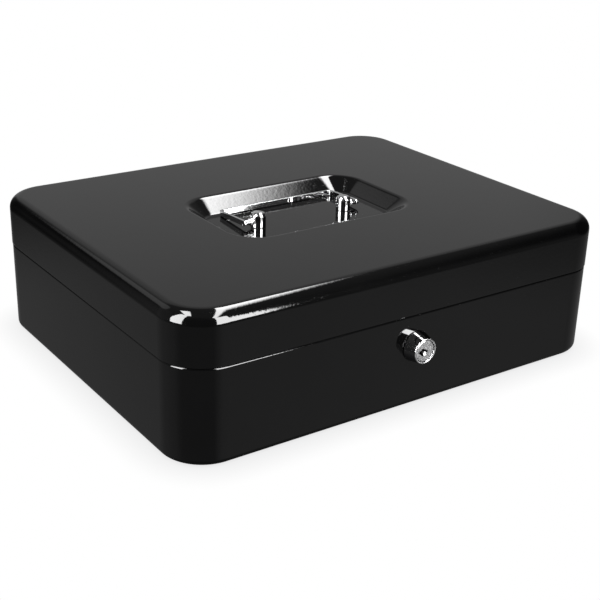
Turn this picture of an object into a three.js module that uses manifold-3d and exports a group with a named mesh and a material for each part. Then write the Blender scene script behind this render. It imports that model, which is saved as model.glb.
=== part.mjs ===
// Steel cash box: pressed base and lid, two rear butt hinges, recessed bail handle on two posts,
// cam lock and lift-out coin tray. Millimetres, +Z up. The origin is the centre of the footprint
// on the resting face; +X runs along the long side to the right and the lock faces -Y, the front.
import * as THREE from "three";
import { mergeVertices } from "three/addons/utils/BufferGeometryUtils.js";
import Module from "manifold-3d";

const wasm = await Module();
wasm.setup();
const { PI, cos, sin } = Math;

// ---- driving dimensions ----
const WIDTH = 300; // outside of the lid, X
const DEPTH = 240; // outside of the lid, Y
const HEIGHT = 87.5; // pressed body, closed
const CORNER_R = 26; // vertical corners
const SHEET = 0.8; // steel sheet
const LID_EDGE_R = 7.8; // fillet round the top of the lid
const BASE_EDGE_R = 3.9; // fillet round the bottom
const SEAM_Z = 57; // lower edge of the lid skirt
const BASE_INSET = 0.3; // base wall inside the lid wall
const RIM_INSET = 1.4; // outside of the upright rim that the lid closes over
const RIM_TOP = 63;

const HANDLE_X = 0; // centre of the handle pocket
const POCKET_Z = 79.5; // floor of the handle pocket
const POST_R = 4.7;
const POST_X = 32.2; // either side of the pocket centre
const POST_Y = -4.2;
const PIVOT_Z = 83.15; // bail pivot axis
const BAIL_HALF = 43; // half of the outside width
const BAIL_REACH = 29.4; // pivot axis to the outside of the grip bar
const BAIL_T = 1.8; // strip thickness
const BAIL_W = 3.5; // strip width
const BAIL_DROP = 3.4; // degrees the folded bail slopes down to the back

const LOCK_Z = 37.35;
const LOCK_FACE_Y = -128.2; // front of the lock collar
const CAM_REACH = 20; // lock axis to the tip of the cam

const HINGE_X = 85; // either side of centre
const HINGE_Y = 120.6; // pin axis
const HINGE_Z = SEAM_Z;
const HINGE_HALF = 20; // half of the hinge width
const BARREL_R = 2;

const TRAY_TOP = 57.1;
const TRAY_FLANGE = 2; // flange thickness
const TRAY_WALL = 1.5;
const TRAY_DEPTH = 28;

const SIDES = [
  ["left", -1],
  ["right", 1],
];

// ---- finishes ----
const chrome = { color: 0xd9dadb, roughness: 0.08, metalness: 1 };
const zinc = { color: 0xb4b6b8, roughness: 0.35, metalness: 1 };
const brass = { color: 0xc2a14e, roughness: 0.3, metalness: 1 };
const blackPaint = { color: 0x131314, roughness: 0.25, metalness: 0 };
const trayBlack = { color: 0x1b1c1d, roughness: 0.55, metalness: 0 };

// ---- conversion between three.js and manifold ----
function toManifold(geometry) {
  for (const key of Object.keys(geometry.attributes)) {
    if (key !== "position") geometry.deleteAttribute(key);
  }
  const merged = mergeVertices(geometry, 1e-4);
  return new wasm.Manifold(
    new wasm.Mesh({
      numProp: 3,
      vertProperties: new Float32Array(merged.attributes.position.array),
      triVerts: new Uint32Array(merged.index.array),
    }),
  );
}

function toGeometry(solid) {
  const { vertProperties, triVerts } = solid.getMesh();
  const geometry = new THREE.BufferGeometry();
  geometry.setAttribute("position", new THREE.BufferAttribute(new Float32Array(vertProperties), 3));
  geometry.setIndex(new THREE.BufferAttribute(new Uint32Array(triVerts), 1));
  geometry.computeVertexNormals();
  return geometry;
}

// ---- outlines ----
// Points along an arc, both ends included; a second radius makes it elliptical.
function arcPoints(centreX, centreY, radius, start, end, steps, radiusY = radius) {
  return Array.from({ length: steps + 1 }, (_, k) => {
    const angle = start + ((end - start) * k) / steps;
    return [centreX + radius * cos(angle), centreY + radiusY * sin(angle)];
  });
}

const circle = (centreX, centreY, radius, sides, phase = 0) =>
  arcPoints(centreX, centreY, radius, phase, phase + 2 * PI, sides).slice(0, sides);

// Rounded rectangle, counter-clockwise from above.
function roundedRect([width, depth, radius], steps, centreX = 0, centreY = 0) {
  const quadrants = [
    [1, 1],
    [-1, 1],
    [-1, -1],
    [1, -1],
  ];
  return quadrants.flatMap(([signX, signY], i) => {
    const x = centreX + signX * (width / 2 - radius);
    const y = centreY + signY * (depth / 2 - radius);
    return arcPoints(x, y, radius, (i * PI) / 2, ((i + 1) * PI) / 2, steps);
  });
}

// Ring [width, depth, corner radius, z] of the body at an inset from the lid outline.
const bodyRing = (inset, z) => [WIDTH - 2 * inset, DEPTH - 2 * inset, CORNER_R - inset, z];

// ---- solids ----
// Closed skin through stacked rings [width, depth, corner radius, z], flat at both ends.
function ringSolid(rings, steps = 7, centreX = 0, centreY = 0) {
  const outlines = rings.map((ring) => roundedRect(ring, steps, centreX, centreY));
  const count = outlines[0].length;
  const positions = outlines.flatMap((points, i) => points.flatMap(([x, y]) => [x, y, rings[i][3]]));
  const index = [];
  for (let i = 0; i + 1 < rings.length; i++) {
    for (let k = 0; k < count; k++) {
      const here = i * count + k;
      const next = i * count + ((k + 1) % count);
      index.push(here, next, next + count, here, next + count, here + count);
    }
  }
  const capFaces = (points) =>
    THREE.ShapeUtils.triangulateShape(points.map(([x, y]) => new THREE.Vector2(x, y)), []);
  for (const [i, j, k] of capFaces(outlines[0])) index.push(k, j, i);
  const last = (rings.length - 1) * count;
  for (const [i, j, k] of capFaces(outlines.at(-1))) index.push(last + i, last + j, last + k);
  const geometry = new THREE.BufferGeometry();
  geometry.setAttribute("position", new THREE.Float32BufferAttribute(positions, 3));
  geometry.setIndex(index);
  return toManifold(geometry);
}

// Outline extruded along its own normal, then placed by the twelve terms of a matrix.
function prism(points, depth, placement) {
  const shape = new THREE.Shape();
  points.forEach(([x, y], i) => (i ? shape.lineTo(x, y) : shape.moveTo(x, y)));
  shape.closePath();
  const geometry = new THREE.ExtrudeGeometry(shape, { depth, bevelEnabled: false });
  geometry.applyMatrix4(new THREE.Matrix4().set(...placement, 0, 0, 0, 1));
  return toManifold(geometry);
}
// Prisms from a YZ, XZ or XY outline.
const prismX = (points, x0, x1) => prism(points, x1 - x0, [0, 0, 1, x0, 1, 0, 0, 0, 0, 1, 0, 0]);
const prismY = (points, y0, y1) => prism(points, y1 - y0, [1, 0, 0, 0, 0, 0, -1, y1, 0, 1, 0, 0]);
const prismZ = (points, z0, z1) => prism(points, z1 - z0, [1, 0, 0, 0, 0, 1, 0, 0, 0, 0, 1, z0]);

function box(x0, x1, y0, y1, z0, z1) {
  const geometry = new THREE.BoxGeometry(x1 - x0, y1 - y0, z1 - z0);
  geometry.translate((x0 + x1) / 2, (y0 + y1) / 2, (z0 + z1) / 2);
  return toManifold(geometry);
}

// Turned piece: profile [radius, height] about Z. The profile may run either way round.
function turned(profile, sides) {
  const points = profile.map(([radius, height]) => new THREE.Vector2(radius, height));
  const geometry = new THREE.LatheGeometry(points, sides);
  geometry.rotateX(PI / 2); // height runs along +Z
  const solid = toManifold(geometry);
  if (solid.volume() >= 0) return solid;
  const index = geometry.index.array;
  for (let k = 0; k < index.length; k += 3) {
    [index[k + 1], index[k + 2]] = [index[k + 2], index[k + 1]];
  }
  return toManifold(geometry);
}

// Turned piece on the lock axis, its heights running along +Y.
const turnedOnLock = (profile, sides) =>
  turned(profile, sides).rotate([-90, 0, 0]).translate([0, 0, LOCK_Z]);

// ---- base and lid shells ----
const NOTCH_SIDE_GAP = 1.5; // notch beyond each end of the hinge
const NOTCH_HEIGHT = 4.2; // notch above and below the seam
const LOCK_HOLE_R = 7.8;
const POST_HOLE_R = 2.15;

const hingeNotch = (sign, y0, z0, z1) => {
  const half = HINGE_HALF + NOTCH_SIDE_GAP;
  return box(sign * HINGE_X - half, sign * HINGE_X + half, y0, 122, z0, z1);
};

// Bottom fillet, from the flat floor out to the wall.
function floorRings(inset, radius, floorZ) {
  return arcPoints(0, 0, radius, 0, PI / 2, 4).map(([across, up]) =>
    bodyRing(inset + radius - up, floorZ + radius - across),
  );
}

// Pressed pan with a joggled upright rim.
function baseShell() {
  const innerInset = BASE_INSET + SHEET;
  let base = ringSolid([
    ...floorRings(BASE_INSET, BASE_EDGE_R, 0),
    // rounded shoulder and joggle under the lid edge
    bodyRing(BASE_INSET, SEAM_Z - 1.3),
    bodyRing(BASE_INSET + 0.35, SEAM_Z - 0.55),
    bodyRing(RIM_INSET, SEAM_Z - 0.1),
    bodyRing(RIM_INSET, RIM_TOP),
    bodyRing(RIM_INSET + SHEET, RIM_TOP),
    bodyRing(RIM_INSET + SHEET, SEAM_Z - 0.7),
    bodyRing(innerInset, SEAM_Z - 1.8),
    ...floorRings(innerInset, BASE_EDGE_R - SHEET, SHEET).reverse(),
  ]);
  for (const [, sign] of SIDES) {
    base = base.subtract(hingeNotch(sign, 116, SEAM_Z - NOTCH_HEIGHT, RIM_TOP + 1));
  }
  return base.subtract(prismY(circle(0, LOCK_Z, LOCK_HOLE_R, 32), -121, -117));
}

// Skirt and top fillet.
function lidRings(inset, radius, skirtZ, topZ) {
  const fillet = arcPoints(inset + radius, topZ - radius, -radius, 0, PI / 2, 6, radius);
  return [bodyRing(inset, skirtZ), ...fillet.map(([ringInset, z]) => bodyRing(ringInset, z))];
}

// Handle pocket [width, depth, corner radius, z]: floor, floor radius, sloping wall, rounded rim.
const POCKET_RINGS = [
  [108, 53, 8, POCKET_Z],
  [111, 57, 9.75, POCKET_Z + 0.58],
  [127.5, 78.7, 19.3, HEIGHT - 1.06],
  [130.5, 82.7, 21.05, HEIGHT - 0.22],
  [133, 86, 22.5, HEIGHT],
  [133, 86, 22.5, HEIGHT + 2],
];
// Underside of the pocket, same columns.
const POCKET_UNDERSIDE = [
  [108.6, 53.6, 8.3, POCKET_Z - SHEET],
  [111.9, 57.9, 10.2, POCKET_Z - SHEET + 0.58],
  [128.4, 79.6, 19.75, HEIGHT - 1.06 - SHEET],
  [131.4, 83.6, 21.5, HEIGHT - 0.22 - SHEET],
  [133.8, 86.8, 22.9, HEIGHT - SHEET],
  [133.8, 86.8, 22.9, HEIGHT + 2],
];

function lidShell() {
  const cavity = ringSolid(
    lidRings(SHEET, LID_EDGE_R - SHEET, SEAM_Z - 1, HEIGHT - SHEET),
  ).subtract(ringSolid(POCKET_UNDERSIDE, 7, HANDLE_X));
  let lid = ringSolid(lidRings(0, LID_EDGE_R, SEAM_Z, HEIGHT))
    .subtract(ringSolid(POCKET_RINGS, 7, HANDLE_X))
    .subtract(cavity);
  for (const [, sign] of SIDES) {
    const postHole = circle(HANDLE_X + sign * POST_X, POST_Y, POST_HOLE_R, 16);
    lid = lid
      .subtract(prismZ(postHole, POCKET_Z - 3, POCKET_Z + 3))
      .subtract(hingeNotch(sign, 118, SEAM_Z - 1, SEAM_Z + NOTCH_HEIGHT));
  }
  return lid;
}

// ---- rear hinges: leaves inside the walls, barrel in the notches at the seam ----
const LEAF_T = 1;
const BASE_LEAF_Y = 117.8; // front faces of the leaves
const LID_LEAF_Y = 118;
const KNUCKLE_SPLIT = 10; // hinge centre to the joint between knuckles
const KNUCKLE_GAP = 0.15; // each knuckle stands this far off the joint
const PIN_HOLE_R = 1.2;

// Webs from leaf to barrel [y, z].
const BASE_WEB = [
  [BASE_LEAF_Y, 50], [BASE_LEAF_Y + LEAF_T, 50], [BASE_LEAF_Y + LEAF_T, 53.2], [120.4, 55.1],
  [HINGE_Y, HINGE_Z], [118.7, HINGE_Z], [BASE_LEAF_Y, 54],
];
const LID_WEB = [
  [LID_LEAF_Y, 64], [LID_LEAF_Y, 60], [118.7, HINGE_Z], [HINGE_Y, HINGE_Z],
  [120.4, 58.9], [LID_LEAF_Y + LEAF_T, 60.8], [LID_LEAF_Y + LEAF_T, 64],
];
// Right-hand half of the pin [radius, distance from the middle].
const PIN_HALF = [[1.05, 20.1], [1.6, 20.1], [1.6, 20.5], [1.3, 20.85], [0, 20.85]];

const knuckle = (web, x0, x1) =>
  prismX(web, x0, x1).add(prismX(circle(HINGE_Y, HINGE_Z, BARREL_R, 20), x0, x1));

const pinHole = (x) => prismX(circle(HINGE_Y, HINGE_Z, PIN_HOLE_R, 20), x - 30, x + 30);

function hingeBaseLeaf(x) {
  const start = KNUCKLE_SPLIT + KNUCKLE_GAP;
  return box(x - HINGE_HALF, x + HINGE_HALF, BASE_LEAF_Y, BASE_LEAF_Y + LEAF_T, 38, 53)
    .add(knuckle(BASE_WEB, x - HINGE_HALF, x - start))
    .add(knuckle(BASE_WEB, x + start, x + HINGE_HALF))
    .subtract(pinHole(x));
}

function hingeLidLeaf(x) {
  const half = KNUCKLE_SPLIT - KNUCKLE_GAP;
  return box(x - HINGE_HALF, x + HINGE_HALF, LID_LEAF_Y, LID_LEAF_Y + LEAF_T, 61.4, 76)
    .add(knuckle(LID_WEB, x - half, x + half))
    .subtract(pinHole(x));
}

function hingePin(x) {
  const leftHalf = PIN_HALF.map(([radius, along]) => [radius, -along]).reverse();
  return turned([...leftHalf, ...PIN_HALF], 20)
    .rotate([0, 90, 0])
    .translate([x, HINGE_Y, HINGE_Z]);
}

// ---- handle: two posts riveted through the pocket floor, bail on shouldered pivots ----
const POST_SEAT_Z = POCKET_Z + 0.03;
const RIVET_TOP_Z = POCKET_Z - 1.95; // top of the rivet head, below the washer
const PIVOT_R = 1.55;
const BAIL_BEND_R = 3; // outside of the two bends
const BAIL_ARM_Y = -4; // rough front end of the arms, before rounding

function handlePost(x) {
  const profile = [
    [0, POCKET_Z - 3.1], [2.2, POCKET_Z - 3.1], [3.3, POCKET_Z - 2.5], [3.3, RIVET_TOP_Z],
    [1.95, RIVET_TOP_Z], [1.95, POST_SEAT_Z], [POST_R - 0.15, POST_SEAT_Z],
    [POST_R, POST_SEAT_Z + 0.15], [POST_R, POST_SEAT_Z + 7.1],
    // domed top
    [POST_R - 0.25, POST_SEAT_Z + 7.6], [3.6, POST_SEAT_Z + 8.4], [2.3, POST_SEAT_Z + 9.05],
    [1.1, POST_SEAT_Z + 9.38], [0, POST_SEAT_Z + 9.5],
  ];
  const bore = prismX(circle(POST_Y, PIVOT_Z, 1.68, 20), x - 6, x + 6);
  return turned(profile, 32).translate([x, POST_Y, 0]).subtract(bore);
}

function postWasher(x) {
  const bottom = POCKET_Z - 1.85;
  const top = POCKET_Z - 0.9;
  const profile = [[2.2, bottom], [5.5, bottom], [5.5, top], [2.2, top], [2.2, bottom]];
  return turned(profile, 24).translate([x, POST_Y, 0]);
}

// Flush in the bail arm, collar between arm and post, journal in the bore of the post.
function bailPivot(x, sign) {
  const collarStart = POST_R + 0.25;
  const collarEnd = POST_R + 1.45;
  const outerEnd = BAIL_HALF - POST_X - 0.05;
  const profile = [
    [0, -2.6], [1.3, -2.6], [PIVOT_R, -2.3], [PIVOT_R, collarStart], [2.3, collarStart],
    [2.3, collarEnd], [PIVOT_R, collarEnd], [PIVOT_R, outerEnd], [0, outerEnd],
  ];
  return turned(profile, 20).rotate([0, sign * 90, 0]).translate([x, POST_Y, PIVOT_Z]);
}

// U-shaped strip lying to the back, its width upright, built with the pivot axis at y = z = 0.
function handleBail() {
  const bendX = BAIL_HALF - BAIL_BEND_R;
  const bendY = BAIL_REACH - BAIL_BEND_R;
  const innerR = BAIL_BEND_R - BAIL_T;
  const innerHalf = BAIL_HALF - BAIL_T;
  const outline = [
    [BAIL_HALF, BAIL_ARM_Y],
    ...arcPoints(bendX, bendY, BAIL_BEND_R, 0, PI / 2, 6),
    ...arcPoints(-bendX, bendY, BAIL_BEND_R, PI / 2, PI, 6),
    [-BAIL_HALF, BAIL_ARM_Y],
    [-innerHalf, BAIL_ARM_Y],
    ...arcPoints(-bendX, bendY, innerR, PI, PI / 2, 6),
    ...arcPoints(bendX, bendY, innerR, PI / 2, 0, 6),
    [innerHalf, BAIL_ARM_Y],
  ];
  const half = BAIL_W / 2;
  // side view [y, z] that rounds the front ends of the arms
  const sideView = [
    [0, -half - 1],
    ...arcPoints(0, 0, half + 0.6, 1.5 * PI, PI / 2, 10, half + 0.02),
    [0, half + 1],
    [60, half + 1],
    [60, -half - 1],
  ];
  return prismZ(outline, -half, half)
    .intersect(prismX(sideView, -60, 60))
    .subtract(prismX(circle(0, 0, 1.6, 20), -60, 60))
    .rotate([-BAIL_DROP, 0, 0])
    .translate([HANDLE_X, POST_Y, PIVOT_Z]);
}

// ---- cam lock ----
const COLLAR_BACK_Y = -119.75; // on the base wall
const BODY_R = 7.6;
const BODY_BACK_Y = -104.6;
const BODY_STEP_Y = -125.1; // the wide front bore ends here
const PLUG_STEP_Y = -125.25; // back of the plug head
const PLUG_BACK_Y = -104.35;
const DRIVE_HALF = 2.5; // square drive for the cam
const DRIVE_CLEARANCE = 0.05;
const WAFER_COUNT = 4;
const WAFER_FIRST_Y = -123.2;
const WAFER_PITCH = 3.8;

// Keyway [x, z from the lock axis], slanting down to the left, with a short branch below.
const KEYWAY = [
  [-4.8, -0.3], [-3.3, -1.45], [-2.2, -2.6], [-1.15, -2.9], [-0.95, -2], [-1.85, -0.95],
  [-0.7, -0.4], [1, -1], [1.8, -1.05], [1.95, -0.3], [1.7, 0.4], [-1.4, 1.8], [-2.2, 1.65],
  [-3.2, 0.75], [-4.8, 0.55],
];

// Box centred on the lock axis.
const lockBox = (halfX, y0, y1, halfZ) =>
  box(-halfX, halfX, y0, y1, LOCK_Z - halfZ, LOCK_Z + halfZ);

function lockBody() {
  const profile = [
    // collar
    [BODY_R, COLLAR_BACK_Y], [8.95, COLLAR_BACK_Y], [9.3, COLLAR_BACK_Y - 0.6],
    [7.72, LOCK_FACE_Y + 0.5], [7.6, LOCK_FACE_Y + 0.12], [7.42, LOCK_FACE_Y],
    // stepped bore
    [6.7, LOCK_FACE_Y], [6.5, LOCK_FACE_Y + 0.25], [6.5, BODY_STEP_Y], [5.3, BODY_STEP_Y],
    [5.3, BODY_BACK_Y], [BODY_R, BODY_BACK_Y], [BODY_R, COLLAR_BACK_Y],
  ];
  return turnedOnLock(profile, 40);
}

function lockNut() {
  const flatR = 10; // axis to flat
  const hexagon = circle(0, LOCK_Z, flatR / cos(PI / 6), 6, PI / 6);
  const hole = circle(0, LOCK_Z, BODY_R + 0.1, 40);
  return prismY(hexagon, -118.8, -114.6).subtract(prismY(hole, -120, -113));
}

// Lead-in under the middle of the keyway, its floor sloping in and up.
function keyLeadIn() {
  const sideView = [
    [LOCK_FACE_Y - 1, LOCK_Z - 3.2], [LOCK_FACE_Y + 0.45, LOCK_Z - 2.75],
    [LOCK_FACE_Y + 1.35, LOCK_Z - 0.4], [LOCK_FACE_Y - 1, LOCK_Z - 0.4],
  ];
  const opening = circle(0.15, LOCK_Z - 1.55, 1.2, 20);
  return prismY(opening, LOCK_FACE_Y - 1, LOCK_FACE_Y + 3).intersect(prismX(sideView, -3, 3));
}

const waferY = (i) => WAFER_FIRST_Y + i * WAFER_PITCH;

function lockPlug() {
  const front = LOCK_FACE_Y + 0.45;
  const profile = [
    [0, front], [6, front], [6.25, front + 0.25], [6.25, PLUG_STEP_Y], [5.1, PLUG_STEP_Y],
    [5.1, PLUG_BACK_Y], [0, PLUG_BACK_Y],
  ];
  const keyway = KEYWAY.map(([x, z]) => [x, z + LOCK_Z]);
  let plug = turnedOnLock(profile, 40)
    .add(lockBox(DRIVE_HALF, PLUG_BACK_Y - 0.25, -102.95, DRIVE_HALF))
    .subtract(prismY(keyway, LOCK_FACE_Y - 1, -108))
    .subtract(keyLeadIn())
    .subtract(prismY(circle(0, LOCK_Z, 1.35, 16), -106.8, -102)); // screw hole
  for (let i = 0; i < WAFER_COUNT; i++) {
    plug = plug.subtract(lockBox(5.6, waferY(i) - 0.55, waferY(i) + 0.55, 2.1));
  }
  return plug;
}

// The window narrows from the front wafer to the back one.
function wafer(i) {
  const y = waferY(i);
  const left = -3.9 + 0.25 * i;
  const right = 2.1 - 0.15 * i;
  return lockBox(4.35, y - 0.4, y + 0.4, 2).subtract(
    box(left, right, y - 1, y + 1, LOCK_Z - 1.3, LOCK_Z + 1.2),
  );
}

// Points up when unlocked; a quarter turn takes it over the ledge of the strike.
function lockCam() {
  const tipR = 3.6;
  const outline = [
    ...arcPoints(0, LOCK_Z, 5.4, PI, 2 * PI, 12),
    ...arcPoints(0, LOCK_Z + CAM_REACH - tipR, tipR, 0, PI, 8),
  ];
  const holeHalf = DRIVE_HALF + DRIVE_CLEARANCE;
  return prismY(outline, -104.25, -102.75).subtract(lockBox(holeHalf, -105, -102, holeHalf));
}

function camScrew() {
  const headFront = -102.65;
  const headBack = -101.1;
  const profile = [
    [0, -106.4], [1.2, -106.4], [1.2, headFront], [3.8, headFront], [3.8, headBack - 0.5],
    [3.1, headBack], [0, headBack],
  ];
  return turnedOnLock(profile, 24);
}

// ---- strike: hangs from the lid skirt inside the rim, its ledge under the turned cam ----
function lidStrike() {
  const thickness = 1.2;
  const skirtY = -119.1; // front face of the leg on the skirt
  const legY = -116.7; // front face of the hanging leg
  const backY = -100.6;
  const ledgeZ = LOCK_Z - 4.6;
  const profile = [
    [skirtY, 64.6], [legY, 64.6], [legY, ledgeZ - thickness], [backY, ledgeZ - thickness],
    [backY, ledgeZ], [legY + thickness, ledgeZ], [legY + thickness, 65.2],
    [skirtY + thickness, 66], [skirtY + thickness, 76.5], [skirtY, 76.5],
  ];
  return prismX(profile, 12, 21);
}

// ---- ledges inside the side walls, under the tray flange ----
// Right-hand section [x, z].
const LEDGE_SECTION = [[141.9, 54], [147.8, 54], [147.8, 44], [148.8, 44], [148.8, 55], [141.9, 55]];

const trayLedge = (sign) => prismY(LEDGE_SECTION.map(([x, z]) => [sign * x, z]), -80, 80);

// ---- coin tray: six scoops along the front, three wells along the back ----
const TRAY_INSET = 4.5; // flange edge inside the lid outline
const FLANGE_Z = TRAY_TOP - TRAY_FLANGE; // underside of the flange
const TRAY_FLOOR_Z = TRAY_TOP - TRAY_DEPTH;
const TRAY_RIB = 4; // between neighbouring hollows
const SCOOP_W = 43;
const SCOOP_Y = [-93, -5]; // front and back edges
const WELL_W = 90;
const WELL_D = 98;
const WELL_Y = 55;

// Part-cylinder along X, grown by the wall for the outside.
function scoop(x, grow, topZ) {
  const [front, back] = SCOOP_Y;
  const halfChord = (back - front) / 2;
  const hollowR = (halfChord ** 2 + TRAY_DEPTH ** 2) / (2 * TRAY_DEPTH);
  const radius = hollowR + grow;
  const centreZ = TRAY_FLOOR_Z + hollowR;
  const start = Math.asin((centreZ - topZ) / radius);
  const outline = arcPoints((front + back) / 2, centreZ, radius, PI + start, 2 * PI - start, 14);
  const half = SCOOP_W / 2 + grow;
  return prismX(outline, x - half, x + half);
}

// Rounded well with a tapered foot, grown by the wall for the outside.
function well(x, grow, footZ, topZ) {
  const width = WELL_W + 2 * grow;
  const depth = WELL_D + 2 * grow;
  const rings = [
    [width - 4, depth - 4, 6 + grow, TRAY_FLOOR_Z - grow],
    [width, depth, 8 + grow, footZ],
    [width, depth, 8 + grow, topZ],
  ];
  return ringSolid(rings, 5, x, WELL_Y);
}

function coinTray() {
  const outsideTop = FLANGE_Z + 0.5;
  const hollowTop = TRAY_TOP + 1;
  let tray = prismZ(roundedRect(bodyRing(TRAY_INSET, 0), 6), FLANGE_Z, TRAY_TOP);
  const hollows = [];
  for (let i = 0; i < 6; i++) {
    const x = (i - 2.5) * (SCOOP_W + TRAY_RIB);
    tray = tray.add(scoop(x, TRAY_WALL, outsideTop));
    hollows.push(scoop(x, 0, hollowTop));
  }
  for (let i = 0; i < 3; i++) {
    const x = (i - 1) * (WELL_W + TRAY_RIB);
    tray = tray.add(well(x, TRAY_WALL, TRAY_FLOOR_Z + 2.5, outsideTop));
    hollows.push(well(x, 0, TRAY_FLOOR_Z + 3.5, hollowTop));
  }
  for (const hollow of hollows) tray = tray.subtract(hollow);
  // notch that clears the lock and the strike
  const notchRings = [FLANGE_Z - 5, hollowTop].map((z) => [52, 60, 6, z]);
  return tray.subtract(ringSolid(notchRings, 4, 2, -127.5));
}

// ---- assembly ----
const root = new THREE.Group();
root.name = "cash_box";
const [base, lid, bail, lock, tray] = Array.from({ length: 5 }, () => new THREE.Group());
root.add(base, lid, bail, lock, tray);

function put(parent, name, solid, finish) {
  const mesh = new THREE.Mesh(toGeometry(solid), new THREE.MeshStandardMaterial(finish));
  mesh.name = name;
  parent.add(mesh);
}

put(base, "base_shell", baseShell(), blackPaint);
put(lid, "lid_shell", lidShell(), blackPaint);
for (const [side, sign] of SIDES) {
  const x = sign * HINGE_X;
  put(base, "hinge_base_leaf_" + side, hingeBaseLeaf(x), blackPaint);
  put(lid, "hinge_lid_leaf_" + side, hingeLidLeaf(x), blackPaint);
  put(base, "hinge_pin_" + side, hingePin(x), zinc);
}
for (const [side, sign] of SIDES) {
  const x = HANDLE_X + sign * POST_X;
  put(lid, "handle_post_" + side, handlePost(x), chrome);
  put(lid, "post_washer_" + side, postWasher(x), zinc);
  put(bail, "bail_pivot_" + side, bailPivot(x, sign), chrome);
}
put(bail, "handle_bail", handleBail(), chrome);
put(base, "lock_body", lockBody(), chrome);
put(base, "lock_nut", lockNut(), zinc);
put(lock, "lock_plug", lockPlug(), chrome);
for (let i = 0; i < WAFER_COUNT; i++) put(lock, "wafer_" + (i + 1), wafer(i), brass);
put(lock, "lock_cam", lockCam(), zinc);
put(lock, "cam_screw", camScrew(), zinc);
put(lid, "lid_strike", lidStrike(), zinc);
for (const [side, sign] of SIDES) put(base, "tray_ledge_" + side, trayLedge(sign), blackPaint);
put(tray, "coin_tray", coinTray(), trayBlack);

export default root;
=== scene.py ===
"""A black enamelled steel cash box with a recessed bail handle, a cam lock and a coin tray.

The box stands on z = 0, centred on the Z axis. Its width runs along X, the lock is on the
front (-Y) wall and the hinges are on the back (+Y) wall. Pieces are drawn in millimetres and
scaled to metres in finish_piece(). Shader, world and stage lengths are in metres.
"""
import math
from collections import namedtuple
from contextlib import contextmanager

import bmesh
import bpy
from mathutils import Matrix, Vector


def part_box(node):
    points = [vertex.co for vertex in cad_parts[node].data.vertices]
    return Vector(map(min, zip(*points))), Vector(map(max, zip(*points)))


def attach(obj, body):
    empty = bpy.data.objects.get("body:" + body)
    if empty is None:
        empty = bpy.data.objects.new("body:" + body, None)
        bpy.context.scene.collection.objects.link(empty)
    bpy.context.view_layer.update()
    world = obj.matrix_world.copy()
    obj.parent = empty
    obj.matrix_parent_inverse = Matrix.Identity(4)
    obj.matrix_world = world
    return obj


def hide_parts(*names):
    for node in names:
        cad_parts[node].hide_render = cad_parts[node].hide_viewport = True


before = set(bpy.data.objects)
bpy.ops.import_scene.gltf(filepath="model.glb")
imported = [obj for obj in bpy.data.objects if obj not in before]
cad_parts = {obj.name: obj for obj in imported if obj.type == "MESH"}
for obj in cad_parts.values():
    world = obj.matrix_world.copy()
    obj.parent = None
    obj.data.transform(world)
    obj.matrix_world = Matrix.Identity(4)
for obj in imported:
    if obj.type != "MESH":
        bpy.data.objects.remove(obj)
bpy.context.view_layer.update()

MM = 0.001
PI = math.pi
scene = bpy.context.scene


def cad_box(node):
    """Low and high corner of a CAD node, in millimetres."""
    return [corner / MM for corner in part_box(node)]


SIDES = (("left", -1), ("right", 1))  # name, sign of x

# Shells
lid_low, lid_high = cad_box("lid_shell")
base_low, base_high = cad_box("base_shell")
WIDTH = lid_high.x - lid_low.x
DEPTH = lid_high.y - lid_low.y
HEIGHT = lid_high.z
SEAM_Z = lid_low.z
RIM_TOP = base_high.z
BASE_INSET = (WIDTH - (base_high.x - base_low.x)) / 2
LID_OUTLINE = (WIDTH, DEPTH, 26.0)  # width, depth, corner radius
SHEET = 0.8
LID_EDGE_R = 7.8
BASE_EDGE_R = 3.9
RIM_INSET = 1.4
SUPPORT = 0.6  # distance of the extra point or ring just past an arc, which keeps flats flat

# Pocket in the lid and the handle in it
POCKET_Z = 79.5
POCKET_FLOOR = (108.0, 53.0, 8.0)  # width, depth, corner radius
POCKET_OPENING = (133.0, 86.0, 22.5)
POST_R = 4.7
post_low, post_high = cad_box("handle_post_right")
POST_X = (post_low.x + post_high.x) / 2
POST_Y = (post_low.y + post_high.y) / 2
PIVOT_Z = 83.15
BAIL_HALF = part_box("handle_bail")[1].x / MM
BAIL_REACH = 29.4
BAIL_THICKNESS = 1.8
BAIL_HEIGHT = 3.5
BAIL_CORNER_R = 3.0
BAIL_DROP = math.radians(3.4)

# Lock
lock_low, lock_high = cad_box("lock_body")
LOCK_Z = (lock_low.z + lock_high.z) / 2
LOCK_FACE_Y = lock_low.y
LOCK_AXIS = (0, LOCK_Z)  # x, z
WAFER_PITCH = 3.8
WAFER_YS = [-123.2 + WAFER_PITCH * k for k in range(4)]
CAM_HUB_R = 5.4
CAM_TIP_R = 3.6
CAM_REACH = 20.0

# Hinges
HINGE_X = 85.0
HINGE_Y = 120.6
HINGE_Z = SEAM_Z
HINGE_AXIS = (HINGE_Y, HINGE_Z)
HINGE_HALF = 20.0
HINGE_GAP = 1.5  # clearance of the shell notches at each end
BARREL_R = 2.0

# Coin tray
TRAY_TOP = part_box("coin_tray")[1].z / MM
TRAY_DEPTH = 28.0
TRAY_BOTTOM = TRAY_TOP - TRAY_DEPTH
TRAY_WALL = 1.5
FLANGE_Z = TRAY_TOP - 2.0  # underside of the flange
TRAY_OUTLINE = (291.0, 231.0, 21.5)  # width, depth, corner radius
MOUTH_R = 1.2
COLUMN_PITCH = 47.0
SCOOP_XS = [COLUMN_PITCH * (k - 2.5) for k in range(6)]
WELL_XS = [2 * COLUMN_PITCH * (k - 1) for k in range(3)]


# ---------------------------------------------------------------- mesh helpers
@contextmanager
def edited(mesh):
    """The mesh as a bmesh, written back at the end."""
    bm = bmesh.new()
    bm.from_mesh(mesh)
    yield bm
    bm.to_mesh(mesh)
    bm.free()


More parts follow.
